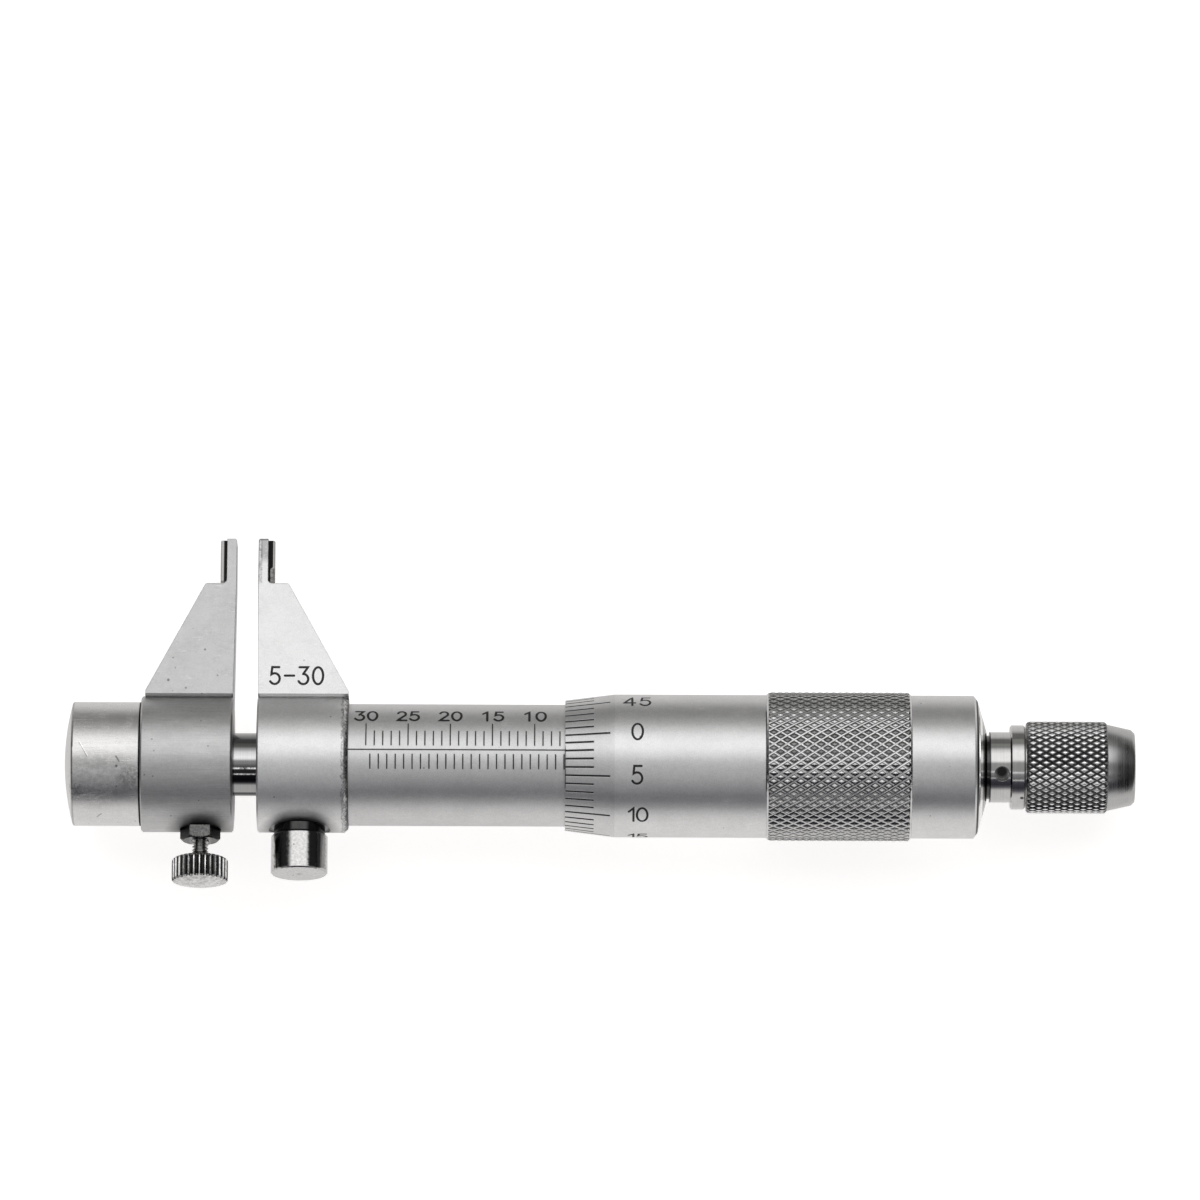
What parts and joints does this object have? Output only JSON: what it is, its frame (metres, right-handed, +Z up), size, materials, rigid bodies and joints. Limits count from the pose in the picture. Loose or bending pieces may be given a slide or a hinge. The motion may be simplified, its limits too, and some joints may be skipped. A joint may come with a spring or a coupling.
{
  "type": "inside micrometer",
  "caption": "Inside micrometer with two narrow jaws on a graduated sleeve, knurled thimble with bevel scale, ratchet knob and thumb lock screw.",
  "frame": {"origin": "centre of the instrument's box as seen from above, at the table that it rests on", "axes": "+X along the spindle towards the ratchet, +Y towards the jaw tips, +Z up from the table"},
  "size_m": [0.1272, 0.0416, 0.0177],
  "materials": {
    "satin_jaw": "satin plated, fine blasted grain",
    "satin_sleeve": "satin plated, black filled marks",
    "satin_thimble": "satin plated, black filled marks",
    "satin_cap": "satin plated, lightly scratched",
    "carbide": "ground",
    "polished_steel": "polished",
    "knurled_steel": "knurled and polished",
    "dark_steel": "polished, nickel dark",
    "plain_steel": "turned",
    "spring_steel": "drawn",
    "bronze": "turned",
    "scale_ink": "matt black filling of engraved lines"
  },
  "bodies": {
    "frame": {"fixed_jaw": "satin_jaw", "fixed_tip": "carbide", "sleeve": "satin_sleeve", "inner_barrel": "plain_steel", "adjusting_nut": "plain_steel", "key_plug": "polished_steel", "key_spring": "spring_steel", "guide_key": "plain_steel"},
    "moving_jaw": {"moving_jaw": "satin_jaw", "moving_tip": "carbide", "guide_tube": "polished_steel", "end_cap": "satin_cap", "thrust_bush": "bronze", "lock_bush": "dark_steel"},
    "thimble": {"measuring_screw": "plain_steel", "bearing_nut": "plain_steel", "thimble": "satin_thimble", "thimble_hub": "polished_steel", "ratchet_body": "polished_steel", "end_screw": "plain_steel"},
    "ratchet_knob": {"ratchet_knob": "knurled_steel", "ratchet_ring": "plain_steel", "ratchet_spring": "spring_steel"},
    "lock_pad": {"lock_pad": "bronze"},
    "lock_screw": {"lock_screw": "dark_steel"}
  },
  "joints": [
    {"name": "jaw_slide", "type": "slide", "parent": "frame", "child": "moving_jaw", "axis": [-1, 0, 0], "range_m": [-0.00152, 0.02348]},
    {"name": "thimble_turn", "type": "hinge", "parent": "moving_jaw", "child": "thimble", "pos_m": [0.0159, -0.0061, 0.00887], "axis": [-1, 0, 0], "range_deg": [-1093.01, 16907.09]},
    {"name": "ratchet_turn", "type": "hinge", "parent": "thimble", "child": "ratchet_knob", "pos_m": [0.06057, -0.0061, 0.00887], "axis": [-1, 0, 0], "continuous": true},
    {"name": "lock_slide", "type": "slide", "parent": "moving_jaw", "child": "lock_pad", "axis": [0, 0.9633, -0.2684], "range_m": [0, 0.0003]},
    {"name": "lock_turn", "type": "hinge", "parent": "lock_pad", "child": "lock_screw", "pos_m": [-0.04741, -0.01718, 0.01196], "axis": [0, 0.9633, -0.2684], "range_deg": [0, 270.05]}
  ],
  "couplings": [
    {"joint": "thimble_turn", "follows": "jaw_slide", "rad_per_m": 12566},
    {"joint": "lock_turn", "follows": "lock_slide", "rad_per_m": 15708}
  ]
}
